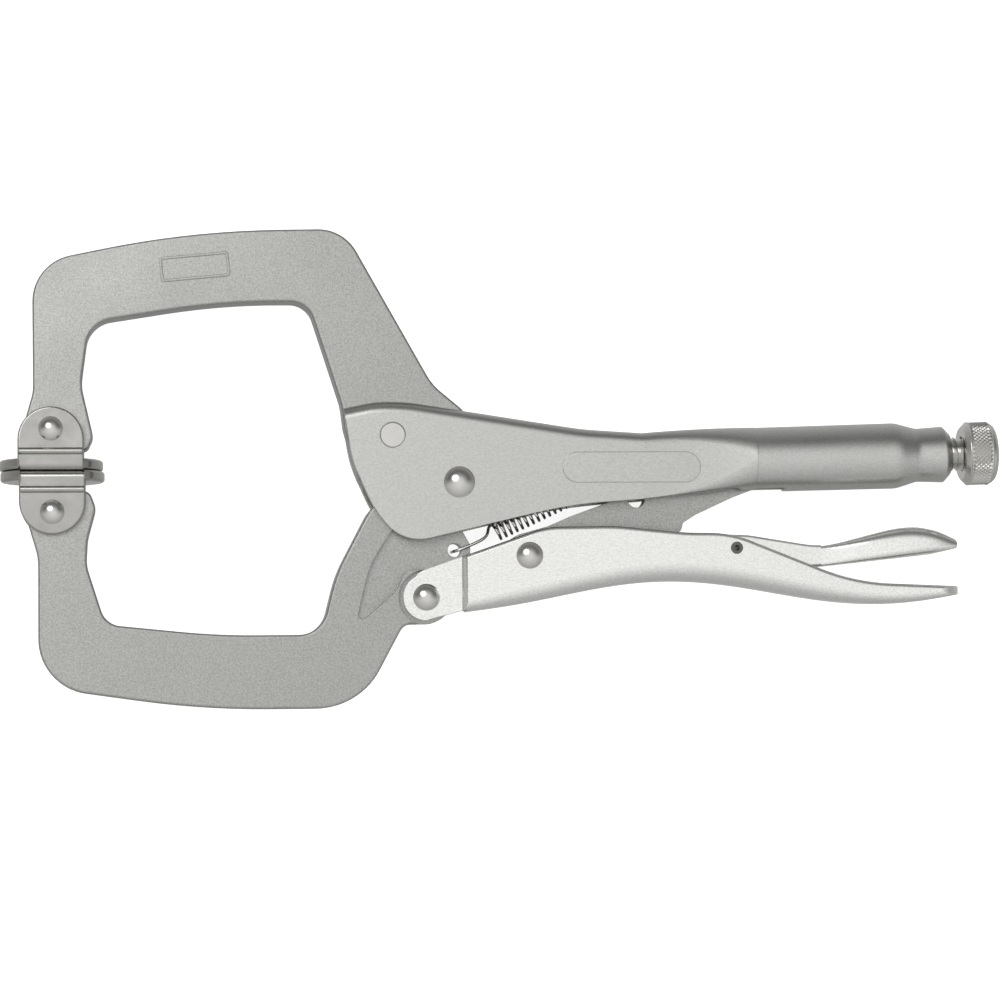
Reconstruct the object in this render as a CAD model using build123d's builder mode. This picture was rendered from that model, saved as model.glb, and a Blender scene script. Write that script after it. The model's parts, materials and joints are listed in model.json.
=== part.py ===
"""Locking C-clamp pliers with swivel pads, lying flat on the rims of the pads.

X runs along the tool towards the adjusting knob, Y across the jaws and Z up.
Every piece is laid out from the tool's middle plane, which is one pad radius up.
"""

import os
from math import asin, cos, radians, sin

from build123d import *

# Pivots and pin centres in the tool's plane, mm
JAW_PIVOT = (-13.5, -4.3)
HANDLE_PIVOT = (-22.7, -36.0)
LINK_PIVOT = (5.8, -24.7)
LINK_END = (72.0, 0.3)
LEVER_PIVOT = (63.8, -22.9)
FIXED_JAW_RIVET = (-31.8, 8.8)
UPPER_PAD_PIVOT = (-125.5, 10.7)
LOWER_PAD_PIVOT = (-125.1, -12.1)
SPRING_HOLE = (-14.6, -22.9)
SPRING_ANCHOR = (44.5, 5.4)

# Swivel pads
PAD_RADIUS = 14.25
PAD_FLAT = 8.7
PAD_THICKNESS = 3.0
PAD_CONTACT_Y = -0.7
PAD_GAP = 0.1
EAR_INNER = 5.3
EAR_OUTER = 7.3
EAR_RADIUS = 9.0

# Forged jaws
MIDDLE = (PAD_RADIUS**2 - PAD_FLAT**2) ** 0.5
JAW_HALF = 5.0
TANG_HALF = 2.8
JAW_EDGE = 0.7
HUB_RADIUS = 12.0
HUB_GAP = 0.5

# Pressed upper handle
CHANNEL_HALF = 7.6
CHANNEL_INNER = 5.1
CROWN_RADIUS = 3.2
SHEET = 2.5
BLOCK_END = 38.0
TUBE_START = 70.0
TUBE_TILT = 1.5
TUBE_START_Y = 2.17
TUBE_RADIUS = 9.05
TUBE_BORE = 6.55
THREAD_RADIUS = 4.8
THREAD_CLEARANCE = 0.08
NECK_END = 56.0
SLOT_HALF = 3.6
SLOT_END = 78.5
SLOT_START = 45.0

# Adjusting screw, measured along the tube's axis from its start
SCREW_TIP = 9.9
KNOB_FRONT = 59.8
KNOB_END = 69.8
KNOB_RADIUS = 9.0
KNOB_BORE_DEPTH = 5.0

# Lower handle, toggle link and release lever
LOWER_HALF = 8.0
LOWER_INNER = 5.6
LUG_OUTER = 5.25
LUG_INNER = 2.95
LUG_RADIUS = 6.4
LOWER_SHEET = 2.3
WEB_FRONT = -11.3
LINK_HALF = 3.0
LINK_BOSS_HALF = 5.4
LEVER_HALF = 5.3
LEVER_SHEET = 2.0

# Rivets, pins and the spring
JAW_SHAFT = 3.0
HANDLE_SHAFT = 2.6
LINK_SHAFT = 2.6
PAD_SHAFT = 2.4
LEVER_SHAFT = 1.65
RUNNING_CLEARANCE = 0.08
SPRING_WIRE = 0.38
SPRING_RADIUS = 2.75
SPRING_START = (-3.0, -17.9)
SPRING_END = (38.4, 1.4)

TUBE = Plane(
    origin=(TUBE_START, TUBE_START_Y, MIDDLE),
    x_dir=(cos(radians(TUBE_TILT)), sin(radians(TUBE_TILT)), 0),
    z_dir=(0, 0, 1),
)
TUBE_AXIS = Axis(TUBE.origin, TUBE.x_dir)


def level(height=0.0):
    """The plane of the tool's outline, raised from the middle plane."""
    return Plane.XY.offset(MIDDLE + height)


def outline(corners):
    """A closed face from (x, y, radius) corners."""
    points = [(x, y) for x, y, _ in corners]
    with BuildLine() as border:
        FilletPolyline(*points, radius=[r for _, _, r in corners], close=True)
    return make_face(border.edges())


def station(x, low, high, half, low_radius, high_radius):
    """A rounded box section across the tool at x, from low to high in Y."""
    plane = Plane(origin=(x, 0, MIDDLE), x_dir=(0, 1, 0), z_dir=(1, 0, 0))
    with BuildSketch(plane) as section:
        outline(
            [
                (low, -half, low_radius),
                (high, -half, high_radius),
                (high, half, high_radius),
                (low, half, low_radius),
            ]
        )
    return section.sketch


def dome_rivet(centre, shaft, half_grip, head, rise, rim=0.35):
    """A rivet through the tool with a low domed head on each side."""
    x, y = centre
    ball = (head**2 + rise**2) / (2 * rise)
    half_angle = asin(head / ball) / 2
    shoulder = half_grip + rim
    middle = (ball * sin(half_angle), shoulder + rise - ball * (1 - cos(half_angle)))
    plane = Plane(origin=(x, y, MIDDLE), x_dir=(1, 0, 0), z_dir=(0, -1, 0))
    with BuildPart() as rivet:
        with BuildSketch(plane):
            with BuildLine():
                Polyline((0, 0), (shaft, 0), (shaft, half_grip), (head, half_grip), (head, shoulder))
                ThreePointArc((head, shoulder), middle, (0, shoulder + rise))
                Line((0, shoulder + rise), (0, 0))
            make_face()
        revolve(axis=Axis((x, y, MIDDLE), (0, 0, 1)))
        mirror(about=level())
    return rivet.part


def pad_ear(pivot, side):
    """One ear of a swivel pad on the upper side of the jaw, bent up from the disc with a beaded root."""
    x, y = pivot
    foot = PAD_CONTACT_Y + side * PAD_GAP / 2
    crest = y - side * 2.9
    with BuildPart() as ear:
        with BuildSketch(level(EAR_INNER)):
            with Locations((x, crest)):
                Circle(EAR_RADIUS)
            with Locations((x, (crest + foot) / 2)):
                Rectangle(2 * EAR_RADIUS, abs(crest - foot))
            with Locations((x, foot - side * EAR_RADIUS / 2)):
                Rectangle(3 * EAR_RADIUS, EAR_RADIUS, mode=Mode.SUBTRACT)
        extrude(amount=EAR_OUTER - EAR_INNER)
        outer = ear.faces().sort_by(Axis.Z)[-1].edges()
        root = outer.sort_by(Axis.Y)[0] if side > 0 else outer.sort_by(Axis.Y)[-1]
        fillet(root, 1.7)
        rim = ear.faces().sort_by(Axis.Z)[-1].edges().filter_by(GeomType.CIRCLE)
        fillet(rim, 0.5)
        with BuildSketch(Plane(origin=(x, foot + side * 5.2, MIDDLE + EAR_OUTER - 0.2), z_dir=(1, 0, 0))):
            Circle(0.95)
        extrude(amount=EAR_RADIUS - 0.4, both=True)
        with BuildSketch(level(EAR_INNER)):
            with Locations(pivot):
                Circle(PAD_SHAFT)
        extrude(amount=EAR_OUTER - EAR_INNER, mode=Mode.SUBTRACT)
    return ear.part


def swivel_pad(pivot, side):
    """A round pad with two riveted ears; side is 1 above the contact plane and -1 below."""
    x = pivot[0]
    face = PAD_CONTACT_Y + side * PAD_GAP / 2
    disc_plane = Plane(origin=(x, face, MIDDLE), x_dir=(1, 0, 0), z_dir=(0, 0, side))
    flank = PAD_RADIUS - 0.8
    with BuildPart() as pad:
        with BuildSketch(disc_plane):
            with BuildLine():
                Line((0, 0), (flank, 0))
                ThreePointArc((flank, 0), (PAD_RADIUS - 0.234, 0.234), (PAD_RADIUS, 0.8))
                Line((PAD_RADIUS, 0.8), (PAD_RADIUS, 2.1))
                ThreePointArc((PAD_RADIUS, 2.1), (PAD_RADIUS - 0.264, 2.736), (PAD_RADIUS - 0.9, PAD_THICKNESS))
                Polyline((PAD_RADIUS - 0.9, PAD_THICKNESS), (0, PAD_THICKNESS), (0, 0))
            make_face()
        revolve(axis=Axis((x, face, MIDDLE), (0, 1, 0)))
        for height in (EAR_INNER + 0.4, -EAR_INNER - 0.4 - PAD_RADIUS):
            with BuildSketch(level(height)):
                with Locations((x, face)):
                    Rectangle(2 * PAD_FLAT, 4 * PAD_THICKNESS)
            extrude(amount=PAD_RADIUS, mode=Mode.SUBTRACT)
        ear = pad_ear(pivot, side)
        add(ear)
        add(ear.mirror(level()))
    return pad.part


# Fixed jaw: a forged C arm whose tang is held between the upper handle's walls
FIXED_JAW_OUTLINE = [
    (-134.9, 4.9, 1.0),
    (-130.3, 21.0, 12),
    (-130.5, 56.5, 13),
    (-87.2, 65.6, 260),
    (-44.8, 66.4, 12),
    (-20.5, 23.0, 16),
    (-12.8, 16.6, 6),
    (-8.6, 12.2, 0.5),
    (-6.8, 3.0, 0.5),
    (-24.0, 3.0, 0.5),
    (-33.5, -6.5, 1.0),
    (-41.0, -4.0, 2.0),
    (-45.0, 11.0, 8),
    (-45.8, 17.5, 15),
    (-54.9, 46.0, 6.5),
    (-78.0, 46.0, 200),
    (-114.9, 40.1, 8),
    (-117.2, 23.0, 15),
    (-113.9, 8.6, 3.5),
    (-115.6, 4.9, 2.0),
]
SIZE_PANEL = (-86.0, 55.6)
PANEL_TURN = 5.5

with BuildPart() as fixed_jaw:
    with BuildSketch(level()):
        outline(FIXED_JAW_OUTLINE)
        with Locations(JAW_PIVOT):
            Circle(HUB_RADIUS + HUB_GAP, mode=Mode.SUBTRACT)
    extrude(amount=JAW_HALF, both=True)
    fillet(fixed_jaw.faces().filter_by(Axis.Z).edges(), JAW_EDGE)
    with BuildSketch(level(JAW_HALF)):
        with Locations(Location((*SIZE_PANEL, 0), PANEL_TURN)):
            RectangleRounded(19.0, 6.8, 0.9)
            RectangleRounded(17.8, 5.6, 0.5, mode=Mode.SUBTRACT)
    extrude(amount=0.3)
    with BuildSketch(level(-JAW_HALF)):
        with Locations(FIXED_JAW_RIVET):
            Circle(3.55)
        with Locations(UPPER_PAD_PIVOT):
            Circle(PAD_SHAFT + RUNNING_CLEARANCE)
    extrude(amount=2 * JAW_HALF, mode=Mode.SUBTRACT)

# Moving jaw: the lower C arm, stepped down to a thin tang between its two pivots
MOVING_JAW_OUTLINE = [
    (-134.4, -6.3, 1.0),
    (-129.0, -24.5, 15),
    (-129.0, -59.8, 15),
    (-83.7, -66.4, 250),
    (-41.3, -66.4, 20),
    (-28.9, -43.3, 4),
    (-15.4, -43.3, 7.2),
    (-15.4, -31.0, 3),
    (-10.2, -27.5, 2.5),
    (-10.2, -21.5, 3),
    (-13.5, -15.5, 2),
    (-13.0, -4.3, 1.0),
    (-21.9, 4.2, 0.5),
    (-38.5, -12.2, 15),
    (-47.6, -29.5, 40),
    (-51.8, -46.1, 8),
    (-80.0, -46.1, 200),
    (-110.7, -42.9, 6),
    (-115.9, -26.5, 12),
    (-115.5, -19.5, 12),
    (-113.2, -11.0, 4),
    (-115.0, -6.3, 2.5),
]
TANG_STEP = [
    (-29.5, -13.5, 0.5),
    (-38.3, -26.8, 30),
    (-42.5, -44.4, 1.3),
    (-31.0, -34.3, 5),
    (-28.3, -28.4, 3),
    (-22.7, -28.4, 0.5),
    (-22.7, -46.0, 0.5),
    (-5.0, -46.0, 0.5),
    (-5.0, -13.5, 0.5),
]

with BuildPart() as moving_jaw:
    with BuildSketch(level()):
        outline(MOVING_JAW_OUTLINE)
        with Locations(JAW_PIVOT):
            Circle(HUB_RADIUS)
    extrude(amount=JAW_HALF, both=True)
    fillet(moving_jaw.faces().filter_by(Axis.Z).edges(), JAW_EDGE)
    for height in (TANG_HALF, -TANG_HALF - JAW_HALF):
        with BuildSketch(level(height)):
            outline(TANG_STEP)
            with Locations(HANDLE_PIVOT):
                Circle(LUG_RADIUS + 1.2)
        extrude(amount=JAW_HALF, mode=Mode.SUBTRACT)
    with BuildSketch(level(-JAW_HALF)):
        with Locations(JAW_PIVOT):
            Circle(JAW_SHAFT + RUNNING_CLEARANCE)
        with Locations(HANDLE_PIVOT):
            Circle(HANDLE_SHAFT + RUNNING_CLEARANCE)
        with Locations(SPRING_HOLE):
            Circle(1.9)
        with Locations(LOWER_PAD_PIVOT):
            Circle(PAD_SHAFT + RUNNING_CLEARANCE)
    extrude(amount=2 * JAW_HALF, mode=Mode.SUBTRACT)

# Upper handle: pressed channel with a raised blank name panel, closing into a tube behind
HANDLE_TOP = [(BLOCK_END, 9.4), (21.0, 10.5), (-27.5, 18.1), (-36.0, 18.3), (-45.3, 16.4)]
HANDLE_FRONT = [(-42.9, 1.5), (-37.0, -11.8), (-29.0, -21.4), (17.3, -10.6), (BLOCK_END, -9.1)]
HANDLE_RADII = [80, 45, 30, 0, 30, 30, 12, 120]
WEB_START = -9.2
PANEL_CENTRE = (34.6, -0.3)
PANEL_SIZE = (38.6, 8.4)
PANEL_RISE = 0.5
STEP = 0.03

bore_low = TUBE_START_Y - TUBE_BORE - STEP
bore_high = TUBE_START_Y + TUBE_BORE + STEP
tube_low = TUBE_START_Y - TUBE_RADIUS - STEP
tube_high = TUBE_START_Y + TUBE_RADIUS + STEP

with BuildPart() as handle_hollow:
    with BuildSketch(level()):
        with BuildLine():
            FilletPolyline(
                (BLOCK_END + 0.5, 7.0), (21.0, 8.0), (WEB_START, 12.7), (WEB_START, 40.0), (-70.0, 40.0),
                radius=[80, 0, 0],
            )
            Polyline((-70.0, 40.0), (-70.0, -50.0), (BLOCK_END + 0.5, -50.0), (BLOCK_END + 0.5, 7.0))
        make_face()
    extrude(amount=CHANNEL_INNER, both=True)
    loft(
        [
            station(BLOCK_END, -20, 7.0 + STEP, CHANNEL_INNER + STEP, 0.5, 0.8),
            station(56.0, -14, 8.2, 5.6, 0.9, 3.0),
            station(TUBE_START + 0.2, bore_low, bore_high, TUBE_BORE + STEP, 6.3, 6.3),
        ],
        ruled=True,
    )
    with BuildSketch(TUBE):
        with BuildLine():
            Polyline(
                (-1.0, 0), (-1.0, TUBE_BORE - 0.5), (0, TUBE_BORE), (42.0, TUBE_BORE),
                (44.0, THREAD_RADIUS + THREAD_CLEARANCE), (58.0, THREAD_RADIUS + THREAD_CLEARANCE),
                (58.0, 0), (-1.0, 0),
            )
        make_face()
    revolve(axis=TUBE_AXIS)
    with BuildSketch(level()):
        with Locations(((SLOT_START + SLOT_END) / 2, -9.0)):
            Rectangle(SLOT_END - SLOT_START, 20.0)
    extrude(amount=SLOT_HALF, both=True)

with BuildPart() as upper_handle:
    with BuildSketch(level()):
        with BuildLine() as side:
            FilletPolyline(*HANDLE_TOP, *HANDLE_FRONT, radius=HANDLE_RADII)
            Line(HANDLE_FRONT[-1], HANDLE_TOP[0])
        make_face()
    extrude(amount=CHANNEL_HALF, both=True)
    rim = upper_handle.faces().filter_by(Axis.Z).edges().filter_by(lambda e: e.center().X < BLOCK_END - 0.1)
    crown = rim.filter_by(lambda e: e.center().Y > 9.4 and e.center().X > -43 and e.length > 3)
    fillet(crown, CROWN_RADIUS)
    loft(
        [
            station(BLOCK_END, -9.1 - STEP, 9.4 + STEP, CHANNEL_HALF + STEP, 0.3, CROWN_RADIUS + 0.1),
            station(56.0, -7.4, 10.7, 7.8, 2.4, 5.0),
            station(TUBE_START, tube_low, tube_high, TUBE_RADIUS + STEP, 8.8, 8.8),
        ]
    )
    with BuildSketch(TUBE):
        with BuildLine():
            FilletPolyline(
                (0, TUBE_RADIUS), (40.5, 9.25), (46.5, 7.5), (NECK_END - 1.9, 7.9), (NECK_END, 5.9), (NECK_END, 4.9),
                radius=[8, 4, 0.6, 0.5],
            )
            Polyline((NECK_END, 4.9), (NECK_END, 0), (-2.0, 0), (-2.0, 8.5), (0, TUBE_RADIUS))
        make_face()
    revolve(axis=TUBE_AXIS)
    with BuildSketch(level(CHANNEL_HALF - 0.5)):
        with Locations(PANEL_CENTRE):
            SlotOverall(*PANEL_SIZE)
    extrude(amount=0.5 + PANEL_RISE)
    add(handle_hollow.part, mode=Mode.SUBTRACT)
    with BuildSketch(level()):
        with Locations((SPRING_ANCHOR[0] + 0.2, SPRING_ANCHOR[1] + 0.9)):
            Rectangle(4.4, 5.4)
        with Locations(SPRING_ANCHOR):
            Circle(1.1, mode=Mode.SUBTRACT)
    extrude(amount=1.0, both=True)
    with BuildSketch(level(-CHANNEL_HALF)):
        with Locations(JAW_PIVOT):
            Circle(JAW_SHAFT)
        with Locations(FIXED_JAW_RIVET):
            Circle(3.55)
    extrude(amount=2 * CHANNEL_HALF, mode=Mode.SUBTRACT)

# Lower handle: a pressed channel, pinched in at the front to straddle the moving jaw's tang
LOWER_OUTLINE = [
    (-22.7, -42.4, 0),
    (WEB_FRONT, -39.4, 0.4),
    (WEB_FRONT, -60.0, 0),
    (140.0, -60.0, 0),
    (140.0, -34.4, 0),
    (97.1, -32.6, 60),
    (62.5, -18.7, 30),
    (50.0, -18.6, 60),
    (30.0, -16.6, 60),
    (10.5, -16.8, 25),
    (-24.5, -28.9, 4),
    (-27.5, -32.5, 0.5),
]
LOWER_STATIONS = [
    (-31.0, -47.0, 4.0),
    (8.0, -37.1, 4.6),
    (30.0, -33.0, 5.0),
    (54.0, -32.1, 5.4),
    (78.0, -35.6, 5.0),
    (104.0, -38.4, 3.0),
    (118.0, -37.6, 2.2),
    (129.0, -35.7, 1.2),
]
LOWER_CEILING = 20.0
LOWER_EDGE = 1.1
PINCH_START = -12.6
PINCH_END = -11.6
LOWER_END = 127.4


def pinched_plan(lug, body, end, end_radius, shift=0.0):
    """The channel's plan, narrow at the lugs and full width behind the pinch."""
    plan = [
        (-36.0, -lug, 0),
        (PINCH_START + shift, -lug, 0.6),
        (PINCH_END + shift, -body, 0.6),
        (end, -body, end_radius),
        (end, body, end_radius),
        (PINCH_END + shift, body, 0.6),
        (PINCH_START + shift, lug, 0.6),
        (-36.0, lug, 0),
    ]
    with BuildSketch(Plane(origin=(0, 0, MIDDLE), x_dir=(1, 0, 0), z_dir=(0, -1, 0))) as sketch:
        outline(plan)
    return sketch.sketch


with BuildPart() as lower_hollow:
    loft(
        [
            station(x, low + LOWER_SHEET, LOWER_CEILING + 5, LOWER_INNER + 3, radius + 1, 0.5)
            for x, low, radius in LOWER_STATIONS
        ]
    )
    with BuildSketch(level()):
        with Locations((WEB_FRONT - 15, -40)):
            Rectangle(30, 60)
    extrude(amount=LOWER_HALF, both=True)
    plan = pinched_plan(LUG_INNER, LOWER_INNER, LOWER_END - 2.6, 3.5, 0.6)
    extrude(plan, amount=100, mode=Mode.INTERSECT)

with BuildPart() as lower_handle:
    with BuildSketch(level()):
        outline(LOWER_OUTLINE)
        with Locations(HANDLE_PIVOT):
            Circle(LUG_RADIUS)
    extrude(amount=LOWER_HALF, both=True)
    fillet(lower_handle.faces().filter_by(Axis.Z).edges(), LOWER_EDGE)
    loft(
        [
            station(x, low, LOWER_CEILING, LOWER_HALF + STEP, radius, 0.3)
            for x, low, radius in LOWER_STATIONS
        ],
        mode=Mode.INTERSECT,
    )
    extrude(pinched_plan(LUG_OUTER, LOWER_HALF + STEP, LOWER_END, 6.0), amount=100, mode=Mode.INTERSECT)
    add(lower_hollow.part, mode=Mode.SUBTRACT)
    with BuildSketch(level(-10)):
        with Locations(HANDLE_PIVOT):
            Circle(HANDLE_SHAFT)
        with Locations(LINK_PIVOT):
            Circle(LINK_SHAFT)
        with Locations(LEVER_PIVOT):
            Circle(LEVER_SHAFT)
    extrude(amount=20, mode=Mode.SUBTRACT)

# Toggle link: a forged bar between the lower handle and the end of the adjusting screw
LINK_OUTLINE = [
    (3.5, -18.6, 0),
    (11.5, -16.4, 3),
    (17.8, -13.7, 3),
    (70.1, 5.3, 0),
    (73.9, -4.7, 0),
    (63.5, -8.6, 10),
    (53.0, -13.4, 5),
    (49.5, -15.6, 0.8),
    (48.9, -18.0, 1.2),
    (38.0, -20.5, 10),
    (8.1, -30.8, 0),
]
LINK_FRONT_RADIUS = 6.5
LINK_END_RADIUS = 5.3

with BuildPart() as toggle_link:
    with BuildSketch(level()):
        outline(LINK_OUTLINE)
        with Locations(LINK_PIVOT):
            Circle(LINK_FRONT_RADIUS)
        with Locations(LINK_END):
            Circle(LINK_END_RADIUS)
    extrude(amount=LINK_HALF, both=True)
    with BuildSketch(level()):
        with Locations(LINK_PIVOT):
            Circle(5.6)
    extrude(amount=LINK_BOSS_HALF, both=True)
    with BuildSketch(level(-10)):
        with Locations(LINK_PIVOT):
            Circle(LINK_SHAFT + RUNNING_CLEARANCE)
        with Locations((36.4, -8.9)):
            Circle(2.4)
    extrude(amount=20, mode=Mode.SUBTRACT)

# Release lever: pressed, narrow inside the lower handle, with a rounded thumb tail
LEVER_OUTLINE = [
    (48.7, -21.2, 1.0),
    (60.0, -18.9, 8),
    (67.6, -19.2, 12),
    (88.5, -22.6, 26),
    (112.5, -16.6, 16),
    (121.0, -18.2, 8),
    (127.2, -21.0, 2.0),
    (126.6, -23.2, 0.5),
    (121.7, -24.3, 8),
    (86.0, -28.1, 20),
    (70.0, -29.0, 8),
    (60.0, -27.0, 4),
    (48.7, -23.6, 1.0),
]
LEVER_WIDENS = 88.0
LEVER_EDGE = 0.8
LEVER_STATIONS = [
    (LEVER_WIDENS, -28.2, -22.3, LEVER_HALF, 0.9, 1.0),
    (93.0, -27.6, -21.5, 5.9, 1.2, 1.6),
    (99.0, -26.9, -20.0, 6.9, 1.6, 2.4),
    (107.0, -26.0, -18.0, 7.7, 1.9, 3.2),
    (116.0, -25.0, -17.2, 7.9, 2.2, 3.6),
    (123.0, -24.1, -18.9, 7.2, 1.8, 2.9),
    (127.5, -23.3, -20.9, 5.4, 0.9, 1.2),
]

with BuildPart() as lever_grip:
    loft([station(*each) for each in LEVER_STATIONS])
    with BuildSketch(level(-12)):
        outline(LEVER_OUTLINE)
    extrude(amount=24, mode=Mode.INTERSECT)

with BuildPart() as release_lever:
    with BuildSketch(level()):
        outline(LEVER_OUTLINE)
    extrude(amount=LEVER_HALF, both=True)
    fillet(release_lever.faces().filter_by(Axis.Z).edges(), LEVER_EDGE)
    with BuildSketch(level(-12)):
        with Locations(((LEVER_WIDENS + 40.1) / 2, -25.0)):
            Rectangle(LEVER_WIDENS - 39.9, 30.0)
    extrude(amount=24, mode=Mode.INTERSECT)
    add(lever_grip.part)
    with BuildSketch(level()):
        with BuildLine():
            FilletPolyline(
                (66.5, -40.0), (69.5, -21.6), (88.5, -24.7), (112.5, -19.2), (121.0, -20.6),
                (124.2, -22.2), (124.4, -40.0),
                radius=[2, 24, 12, 4, 0.8],
            )
            Line((124.4, -40.0), (66.5, -40.0))
        make_face()
    extrude(amount=LEVER_HALF - LEVER_SHEET, both=True, mode=Mode.SUBTRACT)
    with BuildSketch(level(-10)):
        with Locations(LEVER_PIVOT):
            Circle(LEVER_SHAFT + RUNNING_CLEARANCE)
    extrude(amount=20, mode=Mode.SUBTRACT)

# Adjusting screw and its knob, on the tube's axis
with BuildPart() as adjusting_screw:
    with BuildSketch(TUBE):
        with BuildLine():
            Line((SCREW_TIP, 0), (SCREW_TIP, 2.0))
            RadiusArc((SCREW_TIP, 2.0), (SCREW_TIP + 2.8, THREAD_RADIUS), 2.8)
            Polyline(
                (SCREW_TIP + 2.8, THREAD_RADIUS), (KNOB_FRONT + KNOB_BORE_DEPTH, THREAD_RADIUS),
                (KNOB_FRONT + KNOB_BORE_DEPTH, 0), (SCREW_TIP, 0),
            )
        make_face()
    revolve(axis=TUBE_AXIS)

with BuildPart() as adjusting_knob:
    bore_end = KNOB_FRONT + KNOB_BORE_DEPTH + 0.05
    bore = THREAD_RADIUS + THREAD_CLEARANCE
    with BuildSketch(TUBE):
        with BuildLine():
            FilletPolyline(
                (KNOB_FRONT, bore), (KNOB_FRONT, 7.5), (KNOB_FRONT + 1.3, KNOB_RADIUS),
                (KNOB_END - 1.5, KNOB_RADIUS), (KNOB_END, 4.5), (KNOB_END, 0),
                radius=[0.3, 0.3, 2.2, 3],
            )
            Polyline((KNOB_END, 0), (bore_end, 0), (bore_end, bore), (KNOB_FRONT, bore))
        make_face()
    revolve(axis=TUBE_AXIS)

# Tension spring, as a plain sleeve with its two hooks
with BuildPart() as tension_spring:
    x0, y0 = SPRING_START
    x1, y1 = SPRING_END
    run = Vector(x1 - x0, y1 - y0, 0)
    coil_plane = Plane(origin=(x0, y0, MIDDLE), x_dir=(0, 0, 1), z_dir=run)
    with BuildSketch(coil_plane):
        Circle(SPRING_RADIUS)
        Circle(SPRING_RADIUS - 2 * SPRING_WIRE, mode=Mode.SUBTRACT)
    extrude(amount=run.length)
    inset = SPRING_RADIUS - SPRING_WIRE
    front = [(x0 + 0.1, y0, inset), (-9.5, -20.6, 3.6), (*SPRING_HOLE, 3.6), (*SPRING_HOLE, -3.4)]
    rear = [(x1 - 0.1, y1, inset), (41.0, 3.9, 1.9), (*SPRING_ANCHOR, 1.9), (*SPRING_ANCHOR, -1.8)]
    for hook in (front, rear):
        places = [(x, y, MIDDLE + z) for x, y, z in hook]
        with BuildLine() as wire:
            FilletPolyline(*places, radius=[1.5, 0.8])
        with BuildSketch(Plane(origin=wire.line @ 0, z_dir=wire.line % 0)):
            Circle(SPRING_WIRE)
        sweep()

# Lever pin: a rolled tube, flush with the lower handle's walls
with BuildPart() as release_lever_pin:
    with BuildSketch(level()):
        with Locations(LEVER_PIVOT):
            Circle(LEVER_SHAFT)
            Circle(0.75, mode=Mode.SUBTRACT)
    extrude(amount=LOWER_HALF + 0.15, both=True)

with BuildPart() as fixed_jaw_rivet:
    with BuildSketch(level()):
        with Locations(FIXED_JAW_RIVET):
            Circle(3.55)
    extrude(amount=CHANNEL_HALF + 0.12, both=True)
    chamfer(fixed_jaw_rivet.faces().filter_by(Axis.Z).edges(), 0.3)

pieces = {
    "upper_handle": upper_handle.part,
    "fixed_jaw": fixed_jaw.part,
    "fixed_jaw_rivet": fixed_jaw_rivet.part,
    "jaw_pivot_rivet": dome_rivet(JAW_PIVOT, JAW_SHAFT, CHANNEL_HALF, 4.3, 1.9),
    "moving_jaw": moving_jaw.part,
    "lower_handle": lower_handle.part,
    "handle_pivot_rivet": dome_rivet(HANDLE_PIVOT, HANDLE_SHAFT, LUG_OUTER, 3.7, 1.7),
    "toggle_link": toggle_link.part,
    "link_rivet": dome_rivet(LINK_PIVOT, LINK_SHAFT, LOWER_HALF, 3.7, 1.7),
    "release_lever": release_lever.part,
    "release_lever_pin": release_lever_pin.part,
    "adjusting_screw": adjusting_screw.part,
    "adjusting_knob": adjusting_knob.part,
    "tension_spring": tension_spring.part,
    "upper_pad": swivel_pad(UPPER_PAD_PIVOT, 1),
    "upper_pad_rivet": dome_rivet(UPPER_PAD_PIVOT, PAD_SHAFT, EAR_OUTER, 3.3, 1.5),
    "lower_pad": swivel_pad(LOWER_PAD_PIVOT, -1),
    "lower_pad_rivet": dome_rivet(LOWER_PAD_PIVOT, PAD_SHAFT, EAR_OUTER, 3.3, 1.5),
}

os.makedirs("parts", exist_ok=True)
for name, piece in pieces.items():
    piece.label = name
    export_step(piece, f"parts/{name}.step")
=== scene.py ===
"""Locking C-clamp pliers: the looks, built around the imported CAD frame.

The forged jaws, pressed handles, rivets and pads are CAD pieces with their own finishes.
The wound spring, the threaded screw and the knurled knob are modelled here.
"""

import json
import math

import bpy
from mathutils import Matrix, Vector


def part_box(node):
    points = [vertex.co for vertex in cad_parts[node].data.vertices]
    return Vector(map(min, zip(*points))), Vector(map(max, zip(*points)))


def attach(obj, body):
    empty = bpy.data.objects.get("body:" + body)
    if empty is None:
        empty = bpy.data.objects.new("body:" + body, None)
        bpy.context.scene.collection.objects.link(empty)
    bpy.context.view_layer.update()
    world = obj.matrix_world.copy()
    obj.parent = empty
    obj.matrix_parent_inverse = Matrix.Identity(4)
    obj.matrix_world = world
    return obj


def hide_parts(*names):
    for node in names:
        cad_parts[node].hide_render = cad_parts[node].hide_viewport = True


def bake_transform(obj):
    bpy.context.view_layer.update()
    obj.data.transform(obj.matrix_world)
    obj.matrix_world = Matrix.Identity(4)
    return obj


bl_info = {
    "name": "Locking C-Clamp Pliers",
    "version": (1, 0, 0),
    "blender": (4, 5, 0),
    "location": "View3D > Sidebar > Pliers",
    "description": "Builds locking C-clamp pliers with swivel pads around a packed CAD frame",
    "category": "Add Mesh",
}

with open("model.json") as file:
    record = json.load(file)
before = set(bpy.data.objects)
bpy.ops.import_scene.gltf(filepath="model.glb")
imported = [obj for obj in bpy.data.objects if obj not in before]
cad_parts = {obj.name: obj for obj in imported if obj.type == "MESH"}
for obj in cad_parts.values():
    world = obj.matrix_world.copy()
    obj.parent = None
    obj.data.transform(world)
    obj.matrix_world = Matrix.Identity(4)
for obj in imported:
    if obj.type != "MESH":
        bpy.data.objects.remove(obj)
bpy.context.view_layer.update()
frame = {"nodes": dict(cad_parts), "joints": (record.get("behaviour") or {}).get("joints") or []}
MM = 0.001

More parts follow.
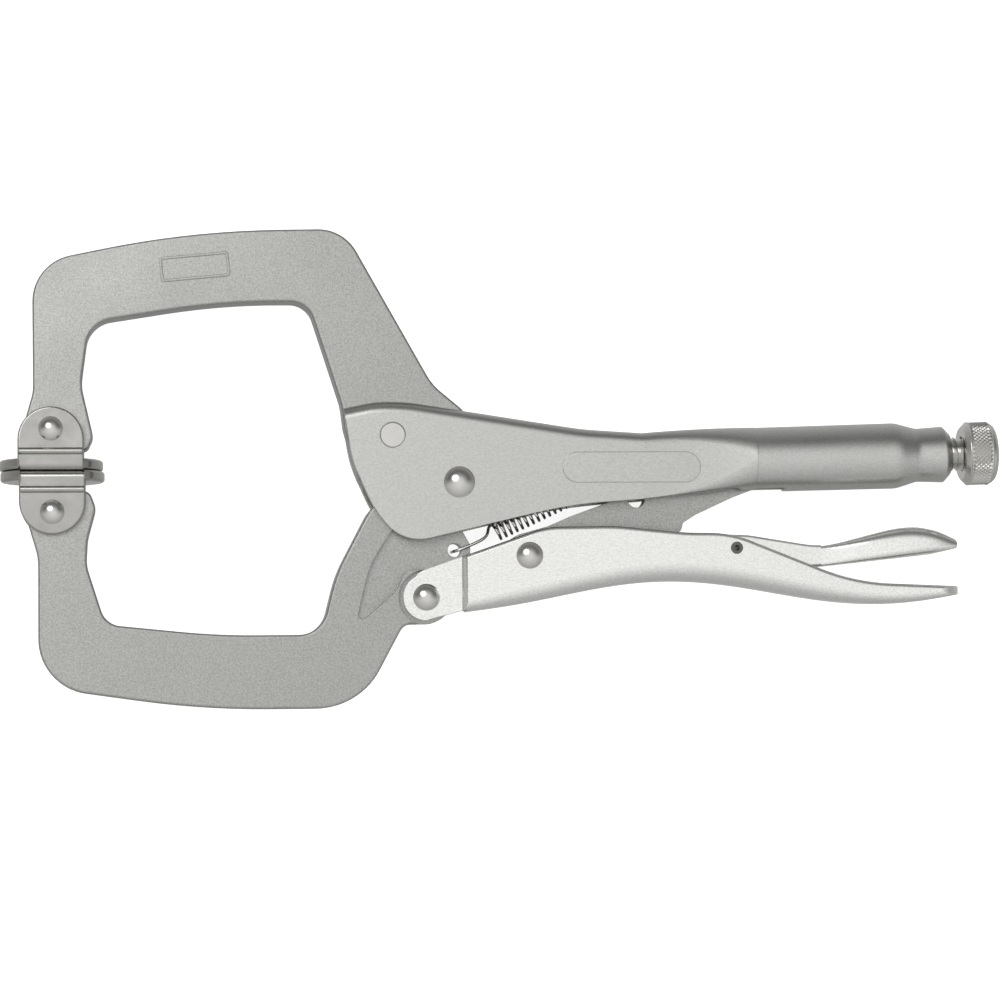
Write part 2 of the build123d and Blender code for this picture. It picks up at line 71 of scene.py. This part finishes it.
JOINTS = {joint["name"]: joint for joint in frame["joints"]}
AXIS_START = Vector(JOINTS["knob_turn"]["pos_m"])
AXIS = Vector(JOINTS["screw_slide"]["axis"]).normalized()
MIDDLE = AXIS_START.z

# Brightness of the studio against the height of a direction, -1 straight down and 1 straight up:
# on the lower handle's side of the tool, and on the fixed jaw's side
SKY_NEAR = ((-1.0, 0.40), (-0.4, 0.42), (-0.1, 0.46), (0.17, 0.5), (0.4, 0.6), (0.75, 0.74), (1.0, 0.94))
SKY_FAR = (
    (-1.0, 0.62), (-0.6, 0.55), (0.0, 0.36), (0.47, 0.17), (0.64, 0.24), (0.79, 0.45), (0.9, 0.76), (1.0, 0.94),
)
SKY_BLEND = 0.25
# name, place in metres, width in metres, power in watts, seen in reflections
SOFTBOXES = (
    ("Softbox above left", (-0.45, 0.5, 1.1), 0.8, 3.6, True),
    ("Softbox right", (0.6, 0.25, 1.0), 0.6, 2.2, False),
)

# The camera in millimetres: its place, the point it looks at, and the direction up the picture
CAMERA_PLACE = (-107.16, -73.35, 998.59)
CAMERA_AIM = (-1.46, -8.85, 11.29)
CAMERA_UP = (0.01047, 0.99995, 0)
CAMERA_LENS = 128.63
SENSOR_WIDTH = 36

# The spring in millimetres: the coil's ends, the jaw's hole and the handle's anchor
COIL_START = (-3.0, -17.9)
COIL_END = (38.4, 1.4)
JAW_HOLE = (-14.6, -22.9)
ANCHOR = (44.5, 5.4)
# x, y and height over the middle plane of the front hook's wire, from the coil into the jaw's hole
FRONT_HOOK = (
    (-4.9, -16.6, 1.2), (-5.3, -18.5, 2.5), (-6.3, -19.7, 3.1), (-8.3, -20.8, 3.6),
    (-11.4, -22.1, 3.75), (-14.0, -23.1, 3.7), (-15.0, -23.3, 2.0), (-15.0, -23.2, -3.2),
)
COIL_STEPS = 28
WIRE_SIDES = 10

THREAD_LEAD = 2.6 * MM
THREAD_STEPS = 36
KNURL_ROWS = 9
KNURL_RELIEF = 0.05 * MM


def linear(hex_colour):
    """An sRGB hex colour as linear red, green, blue and alpha."""
    channels = [int(hex_colour[i : i + 2], 16) / 255 for i in (1, 3, 5)]
    return [c / 12.92 if c <= 0.04045 else ((c + 0.055) / 1.055) ** 2.4 for c in channels] + [1.0]


def place_mm(x, y, lift=0.0):
    """A point given in millimetres, its height measured from the tool's middle plane."""
    return Vector((x, y, lift)) * MM + Vector((0, 0, MIDDLE))


# ---------------------------------------------------------------- properties


class SpringSizes(bpy.types.PropertyGroup):
    wire: bpy.props.FloatProperty(
        name="Wire", description="Diameter of the spring's wire", default=0.86 * MM, unit="LENGTH"
    )
    coil: bpy.props.FloatProperty(
        name="Coil", description="Outer diameter of the coils", default=5.5 * MM, unit="LENGTH"
    )
    turns: bpy.props.IntProperty(name="Turns", description="Number of turns in the coil", default=27)


class ScrewSizes(bpy.types.PropertyGroup):
    major: bpy.props.FloatProperty(
        name="Thread diameter", description="Outer diameter of the thread", default=9.6 * MM,
        unit="LENGTH",
    )
    pitch: bpy.props.FloatProperty(
        name="Pitch", description="Distance from one thread to the next", default=1.5 * MM,
        unit="LENGTH",
    )
    depth: bpy.props.FloatProperty(
        name="Depth", description="Depth of the thread", default=0.8 * MM, unit="LENGTH"
    )


class KnobSizes(bpy.types.PropertyGroup):
    knurls: bpy.props.IntProperty(
        name="Knurls", description="Diamond points around the knob", default=48
    )
    depth: bpy.props.FloatProperty(
        name="Knurl depth", description="Height of a diamond point over its valley", default=0.5 * MM,
        unit="LENGTH",
    )


class FinishColours(bpy.types.PropertyGroup):
    forged: bpy.props.FloatVectorProperty(
        name="Forged steel", description="Plated colour of the forged jaws", subtype="COLOR", size=4,
        default=linear("#B9B9B6"),
    )
    pressed: bpy.props.FloatVectorProperty(
        name="Pressed steel", description="Plated colour of the handles", subtype="COLOR", size=4,
        default=linear("#CFCFCC"),
    )
    polished: bpy.props.FloatVectorProperty(
        name="Polished steel", description="Plated colour of the lower handle and lever",
        subtype="COLOR", size=4, default=linear("#FAFAF7"),
    )
    pad: bpy.props.FloatVectorProperty(
        name="Pads", description="Plated colour of the pads", subtype="COLOR", size=4,
        default=linear("#B4B3AF"),
    )
    bright: bpy.props.FloatVectorProperty(
        name="Bright nickel", description="Plated colour of rivets, screw, spring and knob",
        subtype="COLOR", size=4, default=linear("#DAD9D5"),
    )


class StageSettings(bpy.types.PropertyGroup):
    floor: bpy.props.FloatVectorProperty(
        name="Floor", description="Colour of the floor", subtype="COLOR", size=4,
        default=linear("#F7F7F7"),
    )
    light: bpy.props.FloatProperty(
        name="Light", description="Strength of the soft lights", default=1.0, min=0.0
    )


# ----------------------------------------------------------------- materials


def add_node(tree, kind, settings=None, inputs=None, links=None):
    """Adds a node, sets its properties and input values, and links (output socket) to its inputs."""
    node = tree.nodes.new(kind)
    for key, value in (settings or {}).items():
        setattr(node, key, value)
    for key, value in (inputs or {}).items():
        node.inputs[key].default_value = value
    for key, socket in (links or {}).items():
        tree.links.new(socket, node.inputs[key])
    return node


def new_material(name):
    """A metal material, returned with its tree, its Principled shader and its object coordinates."""
    material = bpy.data.materials.new(name)
    material.use_nodes = True
    tree = material.node_tree
    tree.nodes.clear()
    output = add_node(tree, "ShaderNodeOutputMaterial")
    shader = add_node(tree, "ShaderNodeBsdfPrincipled", inputs={"Metallic": 1.0})
    tree.links.new(shader.outputs["BSDF"], output.inputs["Surface"])
    place = add_node(tree, "ShaderNodeTexCoord").outputs["Object"]
    return material, tree, shader, place


def ramp(tree, factor, low, high, low_value, high_value):
    """Maps factor from low..high to low_value..high_value."""
    node = add_node(
        tree,
        "ShaderNodeMapRange",
        inputs={"From Min": low, "From Max": high, "To Min": low_value, "To Max": high_value},
        links={"Value": factor},
    )
    return node.outputs["Result"]


def tinted(tree, factor, colour, darker):
    """The plating's colour, darkened by up to the given share where factor is 0."""
    dark = [c * (1 - darker) for c in colour[:3]] + [1.0]
    node = add_node(
        tree,
        "ShaderNodeMix",
        settings={"data_type": "RGBA"},
        links={"Factor": factor},
    )
    node.inputs[6].default_value = dark
    node.inputs[7].default_value = colour
    return node.outputs[2]


def soft_edges(tree, radius):
    """The surface normal with sharp edges rounded over, as a press or tumbling barrel leaves them."""
    bevel = add_node(tree, "ShaderNodeBevel", settings={"samples": 4}, inputs={"Radius": radius})
    return bevel.outputs["Normal"]


def forged_nickel(colour):
    """Satin nickel on drop-forged steel, shot blasted before plating.

    The blasting leaves a fine even grit that scatters the light; broad die marks show faintly under it.
    """
    material, tree, shader, place = new_material("Satin nickel on forged steel")
    grit = add_node(
        tree, "ShaderNodeTexNoise",
        inputs={"Scale": 1 / (0.45 * MM), "Detail": 3.0, "Roughness": 0.62},
        links={"Vector": place},
    ).outputs["Fac"]
    pits = add_node(
        tree, "ShaderNodeTexVoronoi",
        inputs={"Scale": 1 / (0.8 * MM)},
        links={"Vector": place},
    ).outputs["Distance"]
    cloud = add_node(
        tree, "ShaderNodeTexNoise",
        inputs={"Scale": 1 / (22 * MM), "Detail": 4.0, "Roughness": 0.55},
        links={"Vector": place},
    ).outputs["Fac"]
    speckle = ramp(tree, grit, 0.34, 0.62, 0.0, 1.0)
    tree.links.new(tinted(tree, speckle, colour, 0.30), shader.inputs["Base Color"])
    tree.links.new(ramp(tree, cloud, 0.3, 0.7, 0.36, 0.46), shader.inputs["Roughness"])
    coarse = add_node(
        tree, "ShaderNodeBump",
        inputs={"Strength": 0.25, "Distance": 0.04 * MM},
        links={"Height": pits, "Normal": soft_edges(tree, 0.3 * MM)},
    ).outputs["Normal"]
    fine = add_node(
        tree, "ShaderNodeBump",
        inputs={"Strength": 0.5, "Distance": 0.05 * MM},
        links={"Height": grit, "Normal": coarse},
    ).outputs["Normal"]
    tree.links.new(fine, shader.inputs["Normal"])
    return material


def pressed_nickel(name, colour, low, high):
    """Nickel on pressed sheet steel: a fine grain drawn out a little along the handle, and faint waves."""
    material, tree, shader, place = new_material(name)
    along = add_node(
        tree, "ShaderNodeMapping", inputs={"Scale": (0.55, 1.0, 1.0)}, links={"Vector": place}
    ).outputs["Vector"]
    lines = add_node(
        tree, "ShaderNodeTexNoise",
        inputs={"Scale": 1 / (0.4 * MM), "Detail": 3.0, "Roughness": 0.62},
        links={"Vector": along},
    ).outputs["Fac"]
    peel = add_node(
        tree, "ShaderNodeTexNoise",
        inputs={"Scale": 1 / (1.1 * MM), "Detail": 2.0, "Roughness": 0.5},
        links={"Vector": place},
    ).outputs["Fac"]
    cloud = add_node(
        tree, "ShaderNodeTexNoise",
        inputs={"Scale": 1 / (30 * MM), "Detail": 3.0, "Roughness": 0.5},
        links={"Vector": place},
    ).outputs["Fac"]
    speckle = ramp(tree, lines, 0.34, 0.62, 0.0, 1.0)
    tree.links.new(tinted(tree, speckle, colour, 0.16), shader.inputs["Base Color"])
    tree.links.new(ramp(tree, cloud, 0.3, 0.7, low, high), shader.inputs["Roughness"])
    waves = add_node(
        tree, "ShaderNodeBump",
        inputs={"Strength": 0.2, "Distance": 0.02 * MM},
        links={"Height": peel, "Normal": soft_edges(tree, 0.3 * MM)},
    ).outputs["Normal"]
    belt = add_node(
        tree, "ShaderNodeBump",
        inputs={"Strength": 0.25, "Distance": 0.02 * MM},
        links={"Height": lines, "Normal": waves},
    ).outputs["Normal"]
    tree.links.new(belt, shader.inputs["Normal"])
    return material


def bright_nickel(name, colour, low, high, edge=0.2 * MM):
    """Bright nickel over barrel-polished steel: sharp reflections, with a slight haze from handling."""
    material, tree, shader, place = new_material(name)
    haze = add_node(
        tree, "ShaderNodeTexNoise",
        inputs={"Scale": 1 / (5 * MM), "Detail": 4.0, "Roughness": 0.6},
        links={"Vector": place},
    ).outputs["Fac"]
    dimples = add_node(
        tree, "ShaderNodeTexNoise",
        inputs={"Scale": 1 / (0.7 * MM), "Detail": 2.0, "Roughness": 0.5},
        links={"Vector": place},
    ).outputs["Fac"]
    patches = ramp(tree, haze, 0.3, 0.7, 0.0, 1.0)
    tree.links.new(tinted(tree, patches, colour, 0.08), shader.inputs["Base Color"])
    tree.links.new(ramp(tree, haze, 0.3, 0.7, low, high), shader.inputs["Roughness"])
    bump = add_node(
        tree, "ShaderNodeBump",
        inputs={"Strength": 0.12, "Distance": 0.02 * MM},
        links={"Height": dimples, "Normal": soft_edges(tree, edge)},
    ).outputs["Normal"]
    tree.links.new(bump, shader.inputs["Normal"])
    return material


def finish(obj, material):
    """Gives the whole of a piece or CAD node one material."""
    obj.data.materials.clear()
    obj.data.materials.append(material)


def shared_material(name, build):
    """The material of that name, built once."""
    return bpy.data.materials.get(name) or build()


def finish_bright(obj):
    """Gives a piece the bright nickel that the rivets, screw and spring share."""
    colour = bpy.context.scene.pliers_finish.bright
    material = shared_material("Bright nickel", lambda: bright_nickel("Bright nickel", colour, 0.12, 0.22))
    finish(obj, material)


# ------------------------------------------------------------------ modelling


def start_piece(name):
    """Renames the primitive just added."""
    piece = bpy.context.active_object
    piece.name = name
    piece.data.name = name
    return piece


def select_only(*objects):
    """Leaves only these objects selected, the first of them active."""
    bpy.ops.object.select_all(action="DESELECT")
    for obj in objects:
        obj.select_set(True)
    bpy.context.view_layer.objects.active = objects[0]


def apply_all(piece):
    """Applies every modifier, then the object's place, turn and size."""
    select_only(piece)
    for modifier in list(piece.modifiers):
        bpy.ops.object.modifier_apply(modifier=modifier.name)
    bpy.ops.object.transform_apply(location=True, rotation=True, scale=True)


def join(*pieces):
    """Joins pieces into the first."""
    select_only(*pieces)
    bpy.ops.object.join()
    return bpy.context.active_object


def outward(piece):
    """Merges doubles, closes the open ends and turns every face outwards."""
    select_only(piece)
    bpy.ops.object.mode_set(mode="EDIT")
    bpy.ops.mesh.select_all(action="SELECT")
    bpy.ops.mesh.remove_doubles(threshold=1e-6)
    bpy.ops.mesh.fill_holes(sides=0)
    bpy.ops.mesh.normals_make_consistent(inside=False)
    bpy.ops.object.mode_set(mode="OBJECT")


def turned(name, profile, segments):
    """A closed turned piece about Z: a ring is extruded and resized through (height, radius) steps."""
    bpy.ops.object.select_all(action="DESELECT")
    height, radius = profile[0]
    bpy.ops.mesh.primitive_circle_add(
        vertices=segments, radius=radius, fill_type="NGON", location=(0, 0, height), enter_editmode=True
    )
    for next_height, next_radius in profile[1:]:
        bpy.ops.mesh.extrude_region_move(TRANSFORM_OT_translate={"value": (0, 0, next_height - height)})
        scale = next_radius / radius
        bpy.ops.transform.resize(value=(scale, scale, 1), center_override=(0, 0, next_height))
        height, radius = next_height, next_radius
    bpy.ops.object.mode_set(mode="OBJECT")
    bpy.ops.object.transform_apply(location=True, rotation=True, scale=True)
    return start_piece(name)


def along_axis(piece):
    """Turns a piece built on Z onto the tube's axis, and puts its foot at the tube's start."""
    select_only(piece)
    turn = AXIS.to_track_quat("Z", "Y").to_matrix().to_4x4()
    piece.matrix_world = Matrix.Translation(AXIS_START) @ turn @ piece.matrix_world
    bpy.ops.object.transform_apply(location=True, rotation=True, scale=True)


def axial_span(node):
    """Where a CAD node begins and ends along the tube's axis, from the tube's start."""
    low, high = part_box(node)
    middle_y, middle_z = (low.y + high.y) / 2, (low.z + high.z) / 2
    return [(Vector((x, middle_y, middle_z)) - AXIS_START).dot(AXIS) for x in (low.x, high.x)]


def wire_through(name, points, diameter):
    """A round wire along a smooth curve through control points."""
    bpy.ops.object.select_all(action="DESELECT")
    bpy.ops.curve.primitive_nurbs_path_add()
    wire = bpy.context.active_object
    wire.name = name
    curve = wire.data
    curve.splines.clear()
    spline = curve.splines.new("NURBS")
    spline.points.add(len(points) - 1)
    for point, place in zip(spline.points, points):
        point.co = (*place, 1)
    spline.order_u = 3
    spline.use_endpoint_u = True
    curve.bevel_depth = diameter / 2
    curve.bevel_resolution = 2
    curve.resolution_u = 8
    curve.use_fill_caps = True
    bpy.ops.object.convert(target="MESH")
    return bpy.context.active_object


# ------------------------------------------------------------------ operators


class PLIERS_OT_jaws(bpy.types.Operator):
    """Finishes the forged jaws and the toggle link"""

    bl_idname = "pliers.jaws"
    bl_label = "Forged Jaws and Link"

    def execute(self, context):
        colour = context.scene.pliers_finish.forged
        material = shared_material("Satin nickel on forged steel", lambda: forged_nickel(colour))
        for node in ("fixed_jaw", "moving_jaw", "toggle_link"):
            finish(frame["nodes"][node], material)
        return {"FINISHED"}


class PLIERS_OT_handles(bpy.types.Operator):
    """Finishes the pressed upper handle, lower handle and release lever"""

    bl_idname = "pliers.handles"
    bl_label = "Pressed Handles and Lever"

    def execute(self, context):
        colours = context.scene.pliers_finish
        satin = pressed_nickel("Satin nickel on pressed steel", colours.pressed, 0.24, 0.34)
        bright = pressed_nickel("Bright nickel on pressed steel", colours.polished, 0.14, 0.26)
        finish(frame["nodes"]["upper_handle"], satin)
        for node in ("lower_handle", "release_lever"):
            finish(frame["nodes"][node], bright)
        return {"FINISHED"}


class PLIERS_OT_pads_and_rivets(bpy.types.Operator):
    """Finishes the swivel pads, the rivets and the lever's pin"""

    bl_idname = "pliers.pads_and_rivets"
    bl_label = "Pads and Rivets"

    def execute(self, context):
        plating = bright_nickel("Bright nickel on pads", context.scene.pliers_finish.pad, 0.14, 0.26)
        for node, obj in frame["nodes"].items():
            if "rivet" in node:
                finish_bright(obj)
            elif node == "release_lever_pin":
                finish(obj, bright_nickel("Oiled steel", linear("#6C6C69"), 0.2, 0.3))
            elif node in ("upper_pad", "lower_pad"):
                finish(obj, plating)
        return {"FINISHED"}


class PLIERS_OT_screw(bpy.types.Operator):
    """Models the adjusting screw with its thread"""

    bl_idname = "pliers.screw"
    bl_label = "Adjusting Screw"

    def execute(self, context):
        sizes = context.scene.pliers_screw
        start, end = axial_span("adjusting_screw")
        core_radius = sizes.major / 2 - sizes.depth
        core = turned(
            "adjusting_screw_thread",
            [
                (start, 2.0 * MM), (start + 0.9 * MM, 3.2 * MM),
                (start + 1.9 * MM, core_radius - 0.1 * MM), (start + THREAD_LEAD, core_radius),
                (end, core_radius),
            ],
            48,
        )
        outward(core)
        bpy.ops.object.select_all(action="DESELECT")
        ridge_half = sizes.pitch * 0.47
        bpy.ops.mesh.primitive_circle_add(
            vertices=4, radius=1.0, rotation=(math.pi / 2, 0, 0),
            location=(core_radius, 0, start + THREAD_LEAD),
        )
        ridge = start_piece("thread")
        ridge.scale = (sizes.depth, ridge_half, 1)
        bpy.ops.object.transform_apply(location=True, rotation=True, scale=True)
        screw = ridge.modifiers.new("Thread", "SCREW")
        screw.angle = 2 * math.pi
        screw.iterations = int((end - start - THREAD_LEAD - 2 * ridge_half) / sizes.pitch)
        screw.screw_offset = sizes.pitch
        screw.steps = screw.render_steps = THREAD_STEPS
        screw.axis = "Z"
        apply_all(ridge)
        outward(ridge)
        piece = join(core, ridge)
        along_axis(piece)
        bpy.ops.object.shade_smooth_by_angle(angle=math.radians(35))
        finish_bright(piece)
        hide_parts("adjusting_screw")
        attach(piece, "adjusting_screw")
        return {"FINISHED"}


class PLIERS_OT_knob(bpy.types.Operator):
    """Models the knurled adjusting knob"""

    bl_idname = "pliers.knob"
    bl_label = "Adjusting Knob"

    def execute(self, context):
        sizes = context.scene.pliers_knob
        low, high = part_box("adjusting_knob")
        radius = (high.z - low.z) / 2
        front, end = axial_span("adjusting_knob")
        bore = context.scene.pliers_screw.major / 2 + 0.08 * MM
        points = 2 * sizes.knurls
        first, last = front + 1.5 * MM, end - 2.9 * MM
        knurled = [
            (first + (last - first) * row / KNURL_ROWS, radius - KNURL_RELIEF) for row in range(KNURL_ROWS + 1)
        ]
        profile = [
            (front + 5.05 * MM, bore), (front + 0.2 * MM, bore), (front, bore + 0.2 * MM),
            (front, radius - 1.7 * MM), (front + 0.15 * MM, radius - 1.45 * MM),
            (front + 1.15 * MM, radius - 0.45 * MM), (front + 1.3 * MM, radius - 0.4 * MM),
            *knurled,
            (end - 2.6 * MM, radius - 0.35 * MM), (end - 2.0 * MM, radius - 0.6 * MM),
            (end - 1.35 * MM, radius - 1.15 * MM), (end - 0.95 * MM, radius - 1.9 * MM),
            (end - 0.75 * MM, radius - 2.8 * MM), (end - 0.45 * MM, radius - 4.2 * MM),
            (end - 0.15 * MM, radius - 6.3 * MM), (end, 1.0 * MM),
        ]
        piece = turned("adjusting_knob_knurled", profile, points)
        select_only(piece)
        bpy.ops.object.mode_set(mode="EDIT")
        bpy.ops.mesh.select_all(action="DESELECT")
        bpy.ops.object.mode_set(mode="OBJECT")
        step = (last - first) / KNURL_ROWS
        for vertex in piece.data.vertices:
            row = round((vertex.co.z - first) / step)
            on_row = abs(vertex.co.z - first - row * step) < 0.01 * MM and 0 < row < KNURL_ROWS
            if on_row and vertex.co.xy.length > radius - 0.2 * MM:
                around = round(math.atan2(vertex.co.y, vertex.co.x) / (2 * math.pi) * points)
                vertex.select = (around + row) % 2 == 0
        bpy.ops.object.mode_set(mode="EDIT")
        valley = (radius - sizes.depth) / (radius - KNURL_RELIEF)
        bpy.ops.transform.resize(value=(valley, valley, 1), center_override=(0, 0, 0))
        bpy.ops.mesh.select_all(action="SELECT")
        bpy.ops.mesh.quads_convert_to_tris(quad_method="SHORTEST_DIAGONAL")
        bpy.ops.object.mode_set(mode="OBJECT")
        outward(piece)
        along_axis(piece)
        bpy.ops.object.shade_smooth_by_angle(angle=math.radians(14))
        colour = context.scene.pliers_finish.bright
        finish(piece, bright_nickel("Bright nickel, knurled", colour, 0.16, 0.28, 0.02 * MM))
        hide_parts("adjusting_knob")
        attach(piece, "adjusting_knob")
        return {"FINISHED"}


class PLIERS_OT_spring(bpy.types.Operator):
    """Models the wound tension spring with its two hooks"""

    bl_idname = "pliers.spring"
    bl_label = "Tension Spring"

    def execute(self, context):
        sizes = context.scene.pliers_spring
        start, end = place_mm(*COIL_START), place_mm(*COIL_END)
        hole, anchor = place_mm(*JAW_HOLE), place_mm(*ANCHOR)
        run = end - start
        radius = (sizes.coil - sizes.wire) / 2
        bpy.ops.object.select_all(action="DESELECT")
        bpy.ops.mesh.primitive_circle_add(
            vertices=WIRE_SIDES, radius=sizes.wire / 2, rotation=(math.pi / 2, 0, 0), location=(radius, 0, 0)
        )
        coil = start_piece("tension_spring_coil")
        bpy.ops.object.transform_apply(location=True, rotation=True, scale=True)
        screw = coil.modifiers.new("Coil", "SCREW")
        screw.angle = 2 * math.pi
        screw.iterations = sizes.turns
        screw.screw_offset = run.length / sizes.turns
        screw.steps = screw.render_steps = COIL_STEPS
        screw.axis = "Z"
        apply_all(coil)
        outward(coil)
        up = Vector((0, 0, 1))
        along = run.normalized()
        side = up.cross(along)
        upright = Matrix((side, up, along)).transposed()
        coil.matrix_world = Matrix.Translation(start) @ upright.to_4x4()
        bpy.ops.object.transform_apply(location=True, rotation=True, scale=True)
        front = [
            start + side * radius + along * 0.9 * MM, start + side * radius - along * 0.3 * MM,
            *(place_mm(*point) for point in FRONT_HOOK),
        ]
        rear = [
            end + side * radius - along * 0.8 * MM, end + side * radius + along * 0.6 * MM,
            anchor + up * 2.1 * MM - along * 2.5 * MM, anchor + up * 1.7 * MM + along * 0.2 * MM,
            anchor + along * 0.4 * MM, anchor - up * 1.7 * MM,
        ]
        hooks = [wire_through("front_hook", front, sizes.wire), wire_through("rear_hook", rear, sizes.wire)]
        for hook in hooks:
            apply_all(hook)
            outward(hook)
        piece = join(coil, *hooks)
        bpy.ops.object.shade_smooth()
        finish_bright(piece)
        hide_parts("tension_spring")
        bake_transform(piece)
        return {"FINISHED"}


class PLIERS_OT_stage(bpy.types.Operator):
    """Sets up the pale floor, the soft lights and the camera"""

    bl_idname = "pliers.stage"
    bl_label = "Stage, Lights and Camera"

    def execute(self, context):
        settings = context.scene.pliers_stage
        bpy.ops.object.select_all(action="DESELECT")
        bpy.ops.mesh.primitive_plane_add(size=6, location=(0, 0, 0))
        floor = start_piece("studio_floor")
        paper = bpy.data.materials.new("Studio paper")
        paper.use_nodes = True
        shader = paper.node_tree.nodes["Principled BSDF"]
        shader.inputs["Base Color"].default_value = settings.floor
        shader.inputs["Roughness"].default_value = 0.9
        shader.inputs["Emission Color"].default_value = settings.floor
        shader.inputs["Emission Strength"].default_value = 0.8
        finish(floor, paper)
        floor.visible_glossy = False

        world = bpy.data.worlds.new("Soft studio")
        context.scene.world = world
        world.use_nodes = True
        tree = world.node_tree
        tree.nodes.clear()
        direction = add_node(tree, "ShaderNodeTexCoord").outputs["Generated"]
        split = add_node(tree, "ShaderNodeSeparateXYZ", links={"Vector": direction})
        height = ramp(tree, split.outputs["Z"], -1.0, 1.0, 0.0, 1.0)
        skies = []
        for stops in (SKY_NEAR, SKY_FAR):
            gradient = add_node(tree, "ShaderNodeValToRGB", links={"Fac": height})
            elements = gradient.color_ramp.elements
            elements[0].color = (stops[0][1],) * 3 + (1,)
            elements[1].color = (stops[-1][1],) * 3 + (1,)
            for rise, grey in stops[1:-1]:
                elements.new((rise + 1) / 2).color = (grey, grey, grey, 1)
            skies.append(gradient.outputs["Color"])
        side = ramp(tree, split.outputs["Y"], -SKY_BLEND, SKY_BLEND, 0.0, 1.0)
        mixed = add_node(
            tree, "ShaderNodeMix", settings={"data_type": "RGBA"},
            links={"Factor": side, 6: skies[0], 7: skies[1]},
        )
        background = add_node(
            tree, "ShaderNodeBackground",
            inputs={"Strength": settings.light}, links={"Color": mixed.outputs[2]},
        )
        add_node(tree, "ShaderNodeOutputWorld", links={"Surface": background.outputs["Background"]})

        for name, place, size, power, reflected in SOFTBOXES:
            bpy.ops.object.light_add(type="AREA", location=place)
            lamp = bpy.context.active_object
            lamp.name = name
            lamp.data.shape = "DISK"
            lamp.data.size = size
            lamp.visible_glossy = reflected
            lamp.data.energy = power * settings.light
            lamp.rotation_euler = (-Vector(place)).to_track_quat("-Z", "Y").to_euler()

        bpy.ops.object.camera_add(location=Vector(CAMERA_PLACE) * MM)
        camera = bpy.context.active_object
        camera.name = "Camera"
        back = (camera.location - Vector(CAMERA_AIM) * MM).normalized()
        right = Vector(CAMERA_UP).cross(back).normalized()
        camera.rotation_euler = Matrix((right, back.cross(right), back)).transposed().to_euler()
        camera.data.lens = CAMERA_LENS
        camera.data.sensor_width = SENSOR_WIDTH
        camera.data.clip_start = 0.01
        camera.data.clip_end = 20
        context.scene.camera = camera
        context.scene.view_settings.view_transform = "Standard"
        return {"FINISHED"}


class PLIERS_PT_panel(bpy.types.Panel):
    """Lists the steps that build the pliers"""

    bl_label = "Locking C-Clamp Pliers"
    bl_idname = "PLIERS_PT_panel"
    bl_space_type = "VIEW_3D"
    bl_region_type = "UI"
    bl_category = "Pliers"

    def draw(self, context):
        layout = self.layout
        for title, group in PROPERTY_GROUPS:
            box = layout.box()
            box.label(text=title)
            settings = getattr(context.scene, group)
            for name in settings.__annotations__:
                box.prop(settings, name)
        for operator in OPERATORS:
            layout.operator(operator.bl_idname)


GROUP_CLASSES = {
    "pliers_spring": SpringSizes,
    "pliers_screw": ScrewSizes,
    "pliers_knob": KnobSizes,
    "pliers_finish": FinishColours,
    "pliers_stage": StageSettings,
}
PROPERTY_GROUPS = [
    ("Spring", "pliers_spring"),
    ("Screw", "pliers_screw"),
    ("Knob", "pliers_knob"),
    ("Finishes", "pliers_finish"),
    ("Stage", "pliers_stage"),
]
OPERATORS = [
    PLIERS_OT_stage,
    PLIERS_OT_jaws,
    PLIERS_OT_handles,
    PLIERS_OT_pads_and_rivets,
    PLIERS_OT_screw,
    PLIERS_OT_knob,
    PLIERS_OT_spring,
]


def register():
    for each in [*GROUP_CLASSES.values(), *OPERATORS, PLIERS_PT_panel]:
        bpy.utils.register_class(each)
    for name, group in GROUP_CLASSES.items():
        setattr(bpy.types.Scene, name, bpy.props.PointerProperty(type=group))


def unregister():
    for name in GROUP_CLASSES:
        delattr(bpy.types.Scene, name)
    for each in reversed([*GROUP_CLASSES.values(), *OPERATORS, PLIERS_PT_panel]):
        bpy.utils.unregister_class(each)


def main():
    register()
    bpy.ops.pliers.stage()
    bpy.ops.pliers.jaws()
    bpy.ops.pliers.handles()
    bpy.ops.pliers.pads_and_rivets()
    bpy.ops.pliers.screw()
    bpy.ops.pliers.knob()
    bpy.ops.pliers.spring()


if __name__ == "__main__":
    main()
